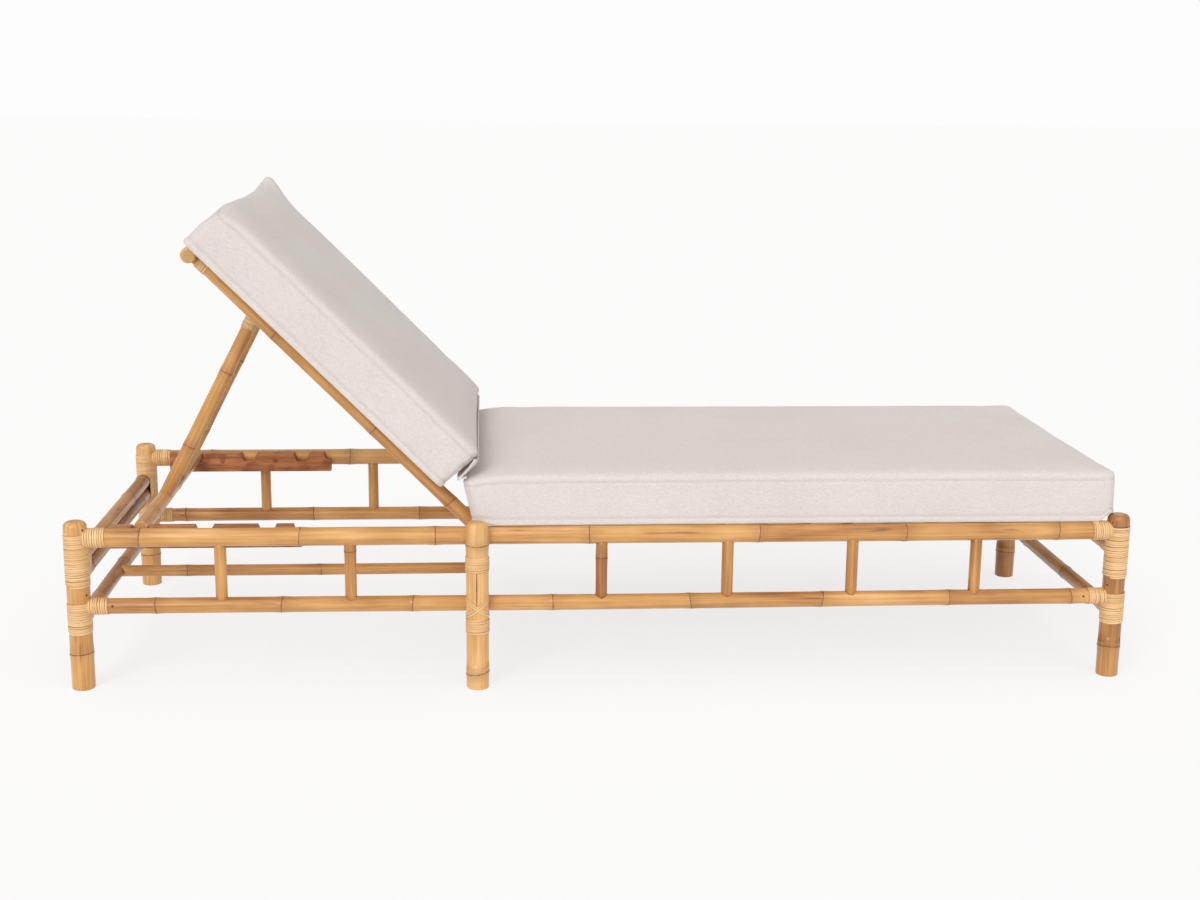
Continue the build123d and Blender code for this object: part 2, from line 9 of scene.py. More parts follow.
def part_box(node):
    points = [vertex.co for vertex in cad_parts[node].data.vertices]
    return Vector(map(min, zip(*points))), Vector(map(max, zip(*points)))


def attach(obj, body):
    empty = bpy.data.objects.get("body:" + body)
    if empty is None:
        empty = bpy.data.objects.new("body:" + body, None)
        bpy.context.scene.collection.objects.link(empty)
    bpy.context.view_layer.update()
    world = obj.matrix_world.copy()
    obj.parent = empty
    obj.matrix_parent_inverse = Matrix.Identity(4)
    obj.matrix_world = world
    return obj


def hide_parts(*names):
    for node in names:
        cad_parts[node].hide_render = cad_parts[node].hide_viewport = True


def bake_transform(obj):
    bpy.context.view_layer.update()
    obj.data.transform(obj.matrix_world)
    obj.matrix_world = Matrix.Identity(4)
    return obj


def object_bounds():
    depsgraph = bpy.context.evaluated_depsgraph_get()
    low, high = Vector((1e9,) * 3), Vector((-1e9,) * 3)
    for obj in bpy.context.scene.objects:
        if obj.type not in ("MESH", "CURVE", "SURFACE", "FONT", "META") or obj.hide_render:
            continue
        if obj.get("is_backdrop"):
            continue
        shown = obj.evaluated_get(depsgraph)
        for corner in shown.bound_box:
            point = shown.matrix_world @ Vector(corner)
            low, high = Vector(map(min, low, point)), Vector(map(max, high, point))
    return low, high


# A rattan sun lounger: poles with their joints, cane bindings, racks, cushions and their cloth.
# Lengths are in metres. X runs to the foot end, "right" is -Y, and the floor is Z = 0.
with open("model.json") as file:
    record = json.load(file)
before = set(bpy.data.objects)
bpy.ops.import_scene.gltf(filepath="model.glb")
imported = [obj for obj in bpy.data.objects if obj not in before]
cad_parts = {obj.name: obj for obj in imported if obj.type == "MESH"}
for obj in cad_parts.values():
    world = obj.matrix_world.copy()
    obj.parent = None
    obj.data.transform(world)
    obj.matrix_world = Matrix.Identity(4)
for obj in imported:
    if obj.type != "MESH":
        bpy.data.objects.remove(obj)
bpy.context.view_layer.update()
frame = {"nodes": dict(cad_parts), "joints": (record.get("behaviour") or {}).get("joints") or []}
SIDES = {"right": -1, "left": 1}

# Poles
pole_sides = 36
pole_ring_step = 0.014
joint_spacing = 0.26
joint_spread = 0.07
joint_swell = 0.0008
joint_ridge = 0.0006
joint_groove = 0.0006
joint_tilt = 0.16
joint_least_tilt = 0.3
joint_tilt_reach = 0.03
joint_end_margin = 0.012
joint_line_width = 0.0009
joint_halo_width = 0.016
joint_swell_width = 0.010
joint_ridge_offset = 0.0012
joint_ridge_width = 0.0011
joint_groove_width = 0.0006
joint_ring_offsets_mm = (0.35, 0.8, 1.4, 2.2, 3.5, 6.0, 10.0)
full_joint_radius = 0.017
pole_bow = 0.0012
pole_wave_share = 0.4
pole_unevenness = 0.012
pole_unevenness_scale = 9
pole_oval = 0.010
pole_texture_step = 3.7
cap_point_share = 0.96
cap_place_share = 0.9
tint_spread = 0.30
spindle_shade = 0.3
cross_rail_shade = 0.2
leg_crown_rounding = 0.010
leg_foot_rounding = 0.0025
bar_end_rounding = 0.0045
rail_tail_rounding = 0.006

# Cane bindings
cane_width = 0.0042
cane_thickness = 0.0014
cane_segments = 40
cane_wander = 0.0006
cane_lift = 0.0002
cane_tuck = 0.0015
cane_pitch_share = 0.985
cane_section_sides = 10
cane_flat_across = 0.6
cane_flat_out = 0.55
rail_binding_length = 0.032
rail_binding_tuck = 0.0115
end_rail_binding_length = 0.040
end_rail_binding_tuck = 0.010
crossing_tilt = 0.75
crossing_length = 0.013
back_binding_length = 0.026
back_binding_from_bar = 0.016
back_binding_ease = 0.0002
prop_binding_from_pivot = 0.034
prop_binding_length = 0.040

# Splits, nails and plugs
split_steps = 10
split_height = 0.0003
split_taper = 0.7
leg_split_rise = 0.038
leg_split_length = 0.078
leg_split_width = 0.0022
end_rail_splits = {-0.21: 0.016, 0.05: 0.013, 0.21: 0.018}
end_rail_split_width = 0.0038
knot_x = -0.898
knot_length = 0.022
knot_width = 0.008
nail_profile = ((0.0019, -0.001), (0.0019, 0.0002), (0.0016, 0.0006), (0.0009, 0.0009))
leg_nail_turns = {0.014: 0.75, 0.138: 0.85}
rail_nail_from_binding = 0.010
plug_scale = 2.9

# Cushions
pad_step = 0.0085
pad_corner = 0.019
pad_top_roll = 0.011
pad_bottom_roll = 0.004
pad_height = 0.097
pad_crown = 0.004
pad_draw_in = 0.003
pad_rest_drop = 0.0004
touch_gap = 0.0003
foot_lift_reach = 0.018
middle_lift = 0.003
middle_lift_reach = 0.026
rail_dent_fade = 0.014
pad_rows = 14
pad_seam_rows = (2, 12)
pad_pressure = 4.0
pad_swell_limit = 0.006
puff_frames = 20
pad_rest_zone = 0.025
seam_depth = 0.0016
seam_width = 0.0016
seam_pitch = 0.0026
stitch_width = 0.0007
ripple_depth = 0.0007
ripple_width = 0.012
ripple_scale = (28, 28, 10)
side_tolerance = 0.001
seat_lean = 0.21
seat_overhang = 0.010
seat_head_drop = 0.009
seat_head_drop_reach = 0.09
back_lean = 0.08
back_ear = Vector((0.009, 0.0, 0.015))
back_ear_reach = (0.05, 0.055)
back_soft_corner = Vector((-0.016, 0.0, -0.007))
back_soft_corner_reach = (0.045, 0.05)
back_end_dip = 0.006
back_end_dip_reach = 0.05
back_end_dip_place = 0.05
back_end_dip_width = 0.2
pucker = 0.0035
pucker_reach = (0.018, 0.045)
back_pad_from_hinge = 0.108
back_pad_past_bar = 0.026
back_pad_rise = 0.0148
strip_width = 0.668
strip_step = 0.005
strip_stand_off = 0.0045
strip_curl = 0.009
strip_start = 0.88
strip_upper = 0.80
strip_crumple = 0.0026
strip_crumple_rise = 0.3
strip_coarse_scale = (38, 60)
strip_fine_scale = (90, 120)
strip_fine_share = 0.5
strip_thickness = 0.0030
strip_tuck = 0.008
strip_tuck_fade = 1.4

# Studio
floor_reach = 40.0
floor_albedo = 0.96
floor_own_white = 0.74
backdrop_white = 0.98
ambient_colour = (1.0, 0.97, 0.94, 1.0)
ambient_strength = 0.48

# Camera, fitted to the photograph, which is 1200 pixels wide
camera_place = Vector((-0.2280, -3.3372, 1.1247))
camera_yaw = 0.07025
camera_pitch = 0.21981
camera_roll = 0.01111
camera_focal_pixels = 1667.95
photo_width_pixels = 1200
sensor_width_mm = 36.0


# Sizes taken from the frame
def middle(node):
    low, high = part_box(node)
    return (low + high) / 2


def half_width(node, axis):
    """Half of a node's width along one axis."""
    low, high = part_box(node)
    return (high[axis] - low[axis]) / 2


def islands(node):
    """Boxes of a node's separate pieces, in order of their low corners."""
    mesh = frame["nodes"][node].data
    spots = [tuple(round(value, 6) for value in vertex.co) for vertex in mesh.vertices]
    parent = {spot: spot for spot in spots}

    def root(spot):
        while parent[spot] != spot:
            parent[spot] = parent[parent[spot]]
            spot = parent[spot]
        return spot

    for polygon in mesh.polygons:
        first, *others = (spots[index] for index in polygon.vertices)
        for other in others:
            parent[root(other)] = root(first)
    members = {}
    for spot in parent:
        members.setdefault(root(spot), []).append(spot)
    boxes = []
    for points in members.values():
        low = Vector([min(point[i] for point in points) for i in range(3)])
        high = Vector([max(point[i] for point in points) for i in range(3)])
        boxes.append((low, high))
    return sorted(boxes, key=lambda box: tuple(box[0]))


hinge = middle("hinge_pins")
bar = middle("back_top_bar")
pivot = middle("prop_pivot_rod")
crossbar = middle("prop_crossbar")
back_length = (bar - hinge).length
along = (bar - hinge).normalized()
outward = Vector((along.z, 0, -along.x))
leg_low, leg_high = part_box("head_leg_right")
leg_radius = (leg_high.x - leg_low.x) / 2
leg_top = leg_high.z
rail_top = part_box("top_rail_right")[1].z
TOP_RAILS = [(middle(f"top_rail_{side}"), half_width(f"top_rail_{side}", 2)) for side in SIDES]
BACK_RAILS = [(middle(f"back_rail_{side}"), half_width(f"back_rail_{side}", 1)) for side in SIDES]
LEGS = [middle(f"{place}_leg_{side}") for place in ("head", "middle", "foot") for side in SIDES]


# Materials
def linear(red, green, blue):
    """A colour written in 0 to 255 display values, as a linear one."""
    values = []
    for value in (red, green, blue):
        share = value / 255
        values.append(share / 12.92 if share <= 0.04045 else ((share + 0.055) / 1.055) ** 2.4)
    return (*values, 1.0)


class Graph:
    """The nodes of a material or world, written from the texture coordinates to the surface."""

    def __init__(self, name, kind=bpy.data.materials):
        self.made = kind.new(name)
        self.made.use_nodes = True
        self.nodes = self.made.node_tree.nodes
        self.links = self.made.node_tree.links
        self.nodes.clear()

    def node(self, kind, inputs=None, **settings):
        made = self.nodes.new(kind)
        for key, value in settings.items():
            setattr(made, key, value)
        for key, value in (inputs or {}).items():
            if isinstance(value, bpy.types.NodeSocket):
                self.links.new(value, made.inputs[key])
            else:
                made.inputs[key].default_value = value
        return made

    def attribute(self, name, output="Vector"):
        return self.node("ShaderNodeAttribute", attribute_name=name).outputs[output]

    def scaled(self, vector, scale):
        return self.node("ShaderNodeVectorMath", {0: vector, 1: scale}, operation="MULTIPLY").outputs[0]

    def noise(self, vector, scale=1.0, detail=2.0, roughness=0.5):
        inputs = {"Vector": vector, "Scale": scale, "Detail": detail, "Roughness": roughness}
        return self.node("ShaderNodeTexNoise", inputs).outputs["Fac"]

    def math(self, operation, first, second=0.0):
        return self.node("ShaderNodeMath", {0: first, 1: second}, operation=operation).outputs[0]

    def stretch(self, value, low, high, to_low=0.0, to_high=1.0):
        inputs = {"Value": value, "From Min": low, "From Max": high, "To Min": to_low, "To Max": to_high}
        return self.node("ShaderNodeMapRange", inputs).outputs["Result"]

    def mix(self, factor, first, second):
        return self.node("ShaderNodeMix", {0: factor, 6: first, 7: second}, data_type="RGBA").outputs[2]

    def ramp(self, value, stops):
        made = self.node("ShaderNodeValToRGB", {0: value})
        elements = made.color_ramp.elements
        while len(elements) < len(stops):
            elements.new(0.5)
        for element, (place, colour) in zip(elements, stops):
            element.position = place
            element.color = colour
        return made.outputs["Color"]

    def bump(self, height, distance, strength=1.0, normal=None):
        inputs = {"Height": height, "Distance": distance, "Strength": strength}
        if normal is not None:
            inputs["Normal"] = normal
        return self.node("ShaderNodeBump", inputs).outputs["Normal"]

    def surface(self, colour, roughness, normal, **constants):
        inputs = {"Base Color": colour, "Roughness": roughness, "Normal": normal}
        inputs.update({key.replace("_", " "): value for key, value in constants.items()})
        shader = self.node("ShaderNodeBsdfPrincipled", inputs)
        self.node("ShaderNodeOutputMaterial", {"Surface": shader.outputs[0]})
        return self.made


def rattan():
    """Lacquered rattan pole: long fibres, pale and dark streaks, thin dark joints, small slits."""
    g = Graph("rattan")
    place = g.attribute("pole")
    marks = g.node("ShaderNodeAttribute", attribute_name="marks")
    parts = g.node("ShaderNodeSeparateColor", {0: marks.outputs["Color"]})
    line, halo, tint = parts.outputs[0], parts.outputs[1], parts.outputs[2]
    end = marks.outputs["Alpha"]
    fibres = g.noise(g.scaled(place, (900, 900, 14)), detail=3.0)
    streaks = g.noise(g.scaled(place, (170, 170, 4.5)), detail=3.0, roughness=0.6)
    clouds = g.noise(g.scaled(place, (22, 22, 9)), detail=2.0)
    tone = g.math("ADD", g.math("MULTIPLY", streaks, 0.55), g.math("MULTIPLY", clouds, 0.45))
    tone = g.math("ADD", tone, g.math("MULTIPLY", g.math("SUBTRACT", tint, 0.5), 0.30))
    tone = g.math("ADD", tone, g.math("MULTIPLY", g.math("SUBTRACT", fibres, 0.5), 0.16))
    colour = g.ramp(
        tone,
        [
            (0.26, linear(152, 96, 44)),
            (0.42, linear(192, 135, 71)),
            (0.56, linear(215, 159, 91)),
            (0.74, linear(236, 189, 124)),
        ],
    )
    slit_noise = g.noise(g.scaled(place, (95, 95, 8)), detail=1.0)
    slits = g.stretch(slit_noise, 0.70, 0.76, 0.0, 0.55)
    colour = g.mix(slits, colour, linear(112, 66, 30))
    stain = g.math("MULTIPLY", halo, g.stretch(clouds, 0.35, 0.65, 0.10, 0.42))
    colour = g.mix(stain, colour, linear(156, 98, 46))
    ring_noise = g.noise(g.scaled(place, (120, 120, 60)), detail=1.0)
    ring = g.math("MULTIPLY", line, g.stretch(ring_noise, 0.3, 0.6, 0.45, 0.95))
    colour = g.mix(ring, colour, linear(84, 48, 22))
    pores = g.node("ShaderNodeTexVoronoi", {"Vector": g.scaled(place, (1000, 1000, 1000)), "Scale": 1.0})
    end_colour = g.ramp(
        pores.outputs["Distance"], [(0.12, linear(120, 78, 42)), (0.45, linear(206, 164, 110))]
    )
    colour = g.mix(end, colour, end_colour)
    roughness = g.stretch(streaks, 0.3, 0.7, 0.34, 0.50)
    normal = g.bump(g.math("ADD", fibres, g.math("MULTIPLY", streaks, 1.5)), 0.0003, 0.5)
    coat = {"Coat_Weight": 0.5, "Coat_Roughness": 0.24}
    return g.surface(colour, roughness, normal, Specular_IOR_Level=0.45, **coat)


def cane():
    """Peeled cane strand: pale straw with a glossy skin, fine streaks and darker edges."""
    g = Graph("cane")
    place = g.attribute("pole")
    marks = g.node("ShaderNodeAttribute", attribute_name="marks")
    parts = g.node("ShaderNodeSeparateColor", {0: marks.outputs["Color"]})
    edge, tint = parts.outputs[0], parts.outputs[2]
    streaks = g.noise(g.scaled(place, (700, 700, 16)), detail=3.0)
    clouds = g.noise(g.scaled(place, (40, 40, 14)), detail=2.0)
    tone = g.math("ADD", g.math("MULTIPLY", streaks, 0.5), g.math("MULTIPLY", clouds, 0.3))
    tone = g.math("ADD", tone, g.math("MULTIPLY", tint, 0.2))
    colour = g.ramp(
        tone,
        [
            (0.30, linear(214, 163, 102)),
            (0.48, linear(236, 191, 132)),
            (0.70, linear(247, 211, 160)),
        ],
    )
    broken = g.stretch(g.noise(g.scaled(place, (90, 90, 30)), detail=2.0), 0.38, 0.66, 0.15, 0.75)
    colour = g.mix(g.math("MULTIPLY", edge, broken), colour, linear(150, 98, 50))
    roughness = g.stretch(streaks, 0.3, 0.7, 0.30, 0.46)
    normal = g.bump(streaks, 0.0002, 0.4)
    coat = {"Coat_Weight": 0.2, "Coat_Roughness": 0.25}
    return g.surface(colour, roughness, normal, Specular_IOR_Level=0.5, **coat)


def hardwood(name="hardwood", mottling=(0.0, 0.6)):
    """Reddish hardwood with open grain along X; mottling is the least and the most of its dark patches."""
    g = Graph(name)
    place = g.node("ShaderNodeTexCoord").outputs["Object"]
    rings = g.noise(g.scaled(place, (5, 60, 75)), detail=4.0, roughness=0.6)
    pores = g.noise(g.scaled(place, (45, 900, 900)), detail=2.0)
    tone = g.math("ADD", g.math("MULTIPLY", rings, 0.75), g.math("MULTIPLY", pores, 0.25))
    colour = g.ramp(
        tone,
        [
            (0.34, linear(142, 84, 48)),
            (0.50, linear(186, 120, 74)),
            (0.66, linear(210, 150, 100)),
        ],
    )
    patches = g.noise(g.scaled(place, (26, 40, 40)), detail=2.0, roughness=0.45)
    colour = g.mix(g.stretch(patches, 0.48, 0.66, *mottling), colour, linear(112, 60, 32))
    normal = g.bump(pores, 0.0004, 0.4)
    roughness = g.stretch(rings, 0.3, 0.7, 0.42, 0.58)
    return g.surface(colour, roughness, normal, Specular_IOR_Level=0.4)


def steel():
    """Zinc-plated steel, brushed and slightly dulled."""
    g = Graph("steel")
    place = g.node("ShaderNodeTexCoord").outputs["Object"]
    scratches = g.noise(g.scaled(place, (900, 60, 900)), detail=3.0)
    dull = g.noise(place, 160.0, 3.0)
    colour = g.ramp(dull, [(0.35, linear(150, 148, 142)), (0.65, linear(196, 194, 188))])
    roughness = g.stretch(scratches, 0.3, 0.7, 0.28, 0.48)
    normal = g.bump(scratches, 0.0001, 0.3)
    return g.surface(colour, roughness, normal, Metallic=1.0)


def nail_steel():
    """Small dark nail heads, rusted brown."""
    g = Graph("nail_steel")
    place = g.attribute("pole")
    rust = g.noise(place, 900.0, 3.0)
    colour = g.ramp(rust, [(0.35, linear(54, 36, 26)), (0.65, linear(92, 62, 42))])
    roughness = g.stretch(rust, 0.3, 0.7, 0.45, 0.7)
    return g.surface(colour, roughness, g.bump(rust, 0.0002, 0.4), Metallic=0.4)


def linen():
    """Pale grey linen: a plain weave with slubs, on coordinates that follow the pad's faces."""
    g = Graph("linen")
    place = g.attribute("pad")
    thread = 0.0011
    turn = 2 * math.pi / thread
    waves = g.node("ShaderNodeVectorMath", {0: g.scaled(place, (turn,) * 3)}, operation="SINE").outputs[0]
    weave = g.node("ShaderNodeVectorMath", {0: waves, 1: (1, 1, 1)}, operation="DOT_PRODUCT")
    weave = weave.outputs["Value"]
    slub_u = g.noise(g.scaled(place, (210, 750, 750)), detail=2.0)
    slub_v = g.noise(g.scaled(place, (750, 210, 750)), detail=2.0)
    slubs = g.math("ADD", slub_u, slub_v)
    clouds = g.noise(place, 7.0, 2.0)
    tone = g.math("ADD", g.math("MULTIPLY", slubs, 0.44), g.math("MULTIPLY", clouds, 0.12))
    colour = g.ramp(
        tone,
        [
            (0.36, linear(212, 204, 199)),
            (0.50, linear(225, 218, 214)),
            (0.64, linear(233, 228, 225)),
        ],
    )
    level = g.node("ShaderNodeSeparateXYZ", {0: place}).outputs[2]
    for row in pad_seam_rows:
        offset = g.math("ABSOLUTE", g.math("SUBTRACT", level, row * pad_height / pad_rows))
        stitch = g.math("ABSOLUTE", g.math("SUBTRACT", offset, seam_pitch / 2))
        line = g.stretch(stitch, 0.0, stitch_width, 0.5, 0.0)
        colour = g.mix(line, colour, linear(176, 167, 160))
    height = g.math("ADD", weave, g.math("MULTIPLY", slubs, 2.5))
    normal = g.bump(height, 0.0003, 0.35)
    return g.surface(colour, 0.88, normal, Sheen_Weight=0.25, Sheen_Roughness=0.5, Specular_IOR_Level=0.2)


RATTAN = rattan()
CANE = cane()
HARDWOOD = hardwood()
PLUG_WOOD = hardwood("plug_wood", mottling=(0.55, 0.75))
STEEL = steel()
NAIL = nail_steel()
LINEN = linen()


# Meshes built ring by ring, with the coordinates that their materials read
class Shape:
    def __init__(self):
        self.points = []
        self.faces = []
        self.places = []
        self.marks = []

    def vertex(self, point, place, mark):
        self.points.append(point)
        self.places.append(place)
        self.marks.append(mark)
        return len(self.points) - 1

    def tube(self, rings, start_centre, end_centre):
        """Rings of (point, place, mark) joined into a closed tube with a fan at each end."""
        indices = [[self.vertex(*corner) for corner in ring] for ring in rings]
        count = len(indices[0])
        for first, second in zip(indices, indices[1:]):
            for i in range(count):
                j = (i + 1) % count
                self.faces.append((first[i], first[j], second[j], second[i]))
        low = self.vertex(*start_centre)
        high = self.vertex(*end_centre)
        for i in range(count):
            j = (i + 1) % count
            self.faces.append((low, indices[0][j], indices[0][i]))
            self.faces.append((high, indices[-1][i], indices[-1][j]))

    def finish(self, name, material, body, nodes=()):
        mesh = bpy.data.meshes.new(name)
        mesh.from_pydata(self.points, [], self.faces)
        places = mesh.attributes.new("pole", "FLOAT_VECTOR", "POINT")
        places.data.foreach_set("vector", [v for place in self.places for v in place])
        marks = mesh.attributes.new("marks", "FLOAT_COLOR", "POINT")
        marks.data.foreach_set("color", [v for mark in self.marks for v in mark])
        mesh.polygons.foreach_set("use_smooth", [True] * len(mesh.polygons))
        mesh.materials.append(material)
        piece = bpy.data.objects.new(name, mesh)
        bpy.context.scene.collection.objects.link(piece)
        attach(piece, body)
        if nodes:
            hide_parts(*nodes)
        return piece


def bell(distance, width):
    return math.exp(-((distance / width) ** 2))


joint_offsets = [0.0]
for step in joint_ring_offsets_mm:
    joint_offsets += [-step / 1000, step / 1000]


def random_joints(length, draw):
    """Places of a pole's joints, at the uneven spacing of a cut length of rattan."""
    found = []
    place = draw.uniform(0.15, 0.85) * joint_spacing
    while place < length:
        found.append(place)
        place += joint_spacing + draw.uniform(-joint_spread, joint_spread)
    return found


def pole(shape, start, end, radius, seed, end_radius=None, joints=None, rounding=(0.0, 0.0), shade=0.5):
    """One rattan pole: a slightly bowed, uneven stem with oblique joints and rounded ends."""
    draw = random.Random(seed)
    start = Vector(start)
    end = Vector(end)
    axis = (end - start).normalized()
    length = (end - start).length
    side = axis.orthogonal().normalized()
    other = axis.cross(side)
    end_radius = radius if end_radius is None else end_radius
    joints = random_joints(length, draw) if joints is None else list(joints)
    joints = [joint for joint in joints if joint_end_margin < joint < length - joint_end_margin]
    tilts = [(draw.uniform(joint_least_tilt, 1.0) * joint_tilt, draw.uniform(0, 2 * math.pi)) for _ in joints]
    tints = [shade + draw.uniform(-tint_spread, tint_spread) for _ in range(len(joints) + 1)]
    bow_angle = draw.uniform(0, 2 * math.pi)
    bow_size = draw.uniform(-pole_bow, pole_bow) * min(length, 1.0)
    wave_size = draw.uniform(-pole_bow, pole_bow) * pole_wave_share * min(length, 1.0)
    oval_angle = draw.uniform(0, math.pi)
    texture_start = seed * pole_texture_step
    count = max(2, round(length / pole_ring_step))
    steps = {length * i / count for i in range(count + 1)}
    steps.update(joint + offset for joint in joints for offset in joint_offsets)
    low_end, high_end = rounding
    arcs = [math.radians(15 * i) for i in range(1, 7)]
    steps = {s for s in steps if low_end <= s <= length - high_end}
    stations = [(s, 0.0) for s in sorted(steps)]
    if low_end:
        foot = [(low_end - low_end * math.sin(a), low_end * (1 - math.cos(a))) for a in reversed(arcs)]
        stations = foot + stations
    if high_end:
        top = length - high_end
        stations += [(top + high_end * math.sin(a), high_end * (1 - math.cos(a))) for a in arcs]

    def ring(s, inset):
        share = s / length
        base = radius + (end_radius - radius) * share
        scale = min(1.0, base / full_joint_radius)
        line, halo, swell, slide = 0.0, 0.0, 0.0, []
        for joint, tilt in zip(joints, tilts):
            distance = s - joint
            line = max(line, bell(distance, joint_line_width))
            halo = max(halo, bell(distance, joint_halo_width))
            ridge = joint_ridge * bell(distance + joint_ridge_offset, joint_ridge_width)
            swell += joint_swell * bell(distance, joint_swell_width) + ridge
            swell -= joint_groove * bell(distance, joint_groove_width)
            slide.append((bell(distance, joint_tilt_reach) * tilt[0], tilt[1]))
        tint = tints[sum(1 for joint in joints if joint < s)]
        sway = bow_size * math.sin(math.pi * share) + wave_size * math.sin(3 * math.pi * share)
        centre = start + axis * s + (side * math.cos(bow_angle) + other * math.sin(bow_angle)) * sway
        uneven = pole_unevenness * noise.noise((s * pole_unevenness_scale, seed * 1.3, 0.0))
        size = base * (1 + uneven) + swell * scale - inset
        corners = []
        for i in range(pole_sides):
            angle = 2 * math.pi * i / pole_sides
            reach = size * (1 + pole_oval * math.cos(2 * (angle - oval_angle)))
            shift = sum(amount * base * math.cos(angle - turn) for amount, turn in slide)
            out = side * math.cos(angle) + other * math.sin(angle)
            point = centre + out * reach + axis * (shift if not inset else 0.0)
            place = (math.cos(angle) * base, math.sin(angle) * base, s + texture_start)
            corners.append((point, place, (line, halo, tint, 0.0)))
        return corners

    rings = [ring(s, inset) for s, inset in stations]
    caps = []
    centres = []
    for place, rim in ((start, rings[0]), (end, rings[-1])):
        mark = (0.0, 0.0, rim[0][2][2], 1.0)
        centres.append((place, (0.0, 0.0, rim[0][1][2]), mark))
        cap = []
        for point, spot, _ in rim:
            inner = place + (point - place) * cap_point_share
            cap.append((inner, (spot[0] * cap_place_share, spot[1] * cap_place_share, spot[2]), mark))
        caps.append(cap)
    shape.tube([caps[0]] + rings + [caps[1]], *centres)


def strand(shape, start, direction, core, length, seed, pair=Vector(), tilt=Vector()):
    """One cane strand wound round a pole, its ends tucked in.

    pair is half the step between two poles that are wound together, and tilt leans every loop.
    """
    width = cane_width
    draw = random.Random(seed)
    start = Vector(start)
    axis = Vector(direction).normalized()
    side = axis.orthogonal().normalized()
    other = axis.cross(side)
    loops = max(1, round((length - width) / (width * cane_pitch_share)))
    rise = (length - width) / loops
    lean = [draw.uniform(-cane_wander, cane_wander) for _ in range(loops + 2)]
    lift = [draw.uniform(0.0, cane_lift) for _ in range(loops + 2)]
    tints = [draw.uniform(0, 1) for _ in range(loops + 2)]
    total = loops * cane_segments
    section = []
    for i in range(cane_section_sides):
        angle = 2 * math.pi * i / cane_section_sides
        across = math.copysign(abs(math.cos(angle)) ** cane_flat_across, math.cos(angle)) * width / 2
        out = math.copysign(abs(math.sin(angle)) ** cane_flat_out, math.sin(angle)) * cane_thickness / 2
        section.append((across, out))
    rings = []
    for step in range(total + 1):
        turn = step / cane_segments
        loop = int(turn)
        share = turn - loop
        angle = 2 * math.pi * turn + seed
        ends = min(step, total - step) / (cane_segments / 4)
        tuck = cane_tuck * (1 - min(1.0, ends))
        offset = lean[loop] * (1 - share) + lean[loop + 1] * share
        level = lift[loop] * (1 - share) + lift[loop + 1] * share
        tint = tints[loop] * (1 - share) + tints[loop + 1] * share
        out = side * math.cos(angle) + other * math.sin(angle)
        centre = start + axis * (width / 2 + rise * turn + offset + out.dot(tilt) * core)
        centre += pair * math.copysign(1, out.dot(pair))
        base = core + cane_thickness / 2 + level - tuck
        corners = []
        for across, up in section:
            point = centre + axis * across + out * (base + up)
            edge = abs(across) / (width / 2)
            place = (across, up, turn * 2 * math.pi * core + seed)
            corners.append((point, place, (edge**4, 0.0, tint, 0.0)))
        rings.append(corners)
    centres = []
    for rim in (rings[0], rings[-1]):
        middle_point = sum((corner[0] for corner in rim), Vector()) / len(rim)
        centres.append((middle_point, rim[0][1], rim[0][2]))
    shape.tube(rings, *centres)


# Straight poles along an axis of the frame
def straight(node, axis, seed, body, boxes=None, rounding=(0.0, 0.0), joints=None, shade=0.5):
    shape = Shape()
    for index, (low, high) in enumerate(boxes or [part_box(node)]):
        centre = (low + high) / 2
        start = centre.copy()
        end = centre.copy()
        start[axis] = low[axis]
        end[axis] = high[axis]
        across = [i for i in range(3) if i != axis]
        radius = min(high[i] - low[i] for i in across) / 2
        pole(shape, start, end, radius, seed + index, joints=joints, rounding=rounding, shade=shade)
    return shape.finish(f"{node}_pole", RATTAN, body, [node])


top_rail_joints = (0.105, 0.395, 0.645, 0.934, 1.251, 1.531, 1.827)
lower_rail_joints = (0.130, 0.361, 0.604, 0.864, 1.125, 1.377, 1.621, 1.860)
leg_joints = {"head": (0.070,), "middle": (0.032, 0.280), "foot": (0.060, 0.299)}
leg_shades = {"head": 0.75, "middle": 0.95, "foot": 0.25}
leg_rounding = (leg_foot_rounding, leg_crown_rounding)
back_rail_joints = (0.09, 0.29, 0.54)
prop_leg_joints = (0.180, 0.345)

seed = 1
for side in SIDES:
    for place, joints in leg_joints.items():
        shade = leg_shades[place]
        straight(f"{place}_leg_{side}", 2, seed, "base", joints=joints, rounding=leg_rounding, shade=shade)
        seed += 1
    near = side == "right"
    straight(f"top_rail_{side}", 0, seed, "base", joints=top_rail_joints if near else None)
    straight(f"lower_rail_{side}", 0, seed + 1, "base", joints=lower_rail_joints if near else None)
    spindles = f"spindles_{side}"
    straight(spindles, 2, seed + 2, "base", boxes=islands(spindles), shade=spindle_shade)
    seed += 10

for node in (
    "head_upper_end_rail",
    "head_second_end_rail",
    "head_lower_end_rail",
    "foot_upper_end_rail",
    "foot_lower_end_rail",
    "middle_lower_cross_rail",
    "seat_bearer",
):
    straight(node, 1, seed, "base", shade=cross_rail_shade)
    seed += 1
straight("center_stretcher", 0, seed, "base")
straight("seat_slats", 1, seed + 1, "base", boxes=islands("seat_slats"))
straight("back_slats", 1, seed + 20, "backrest", boxes=islands("back_slats"))
straight("back_top_bar", 1, seed + 30, "backrest", rounding=(bar_end_rounding,) * 2)
straight("prop_crossbar", 1, seed + 31, "prop", rounding=(bar_end_rounding,) * 2)
seed += 40

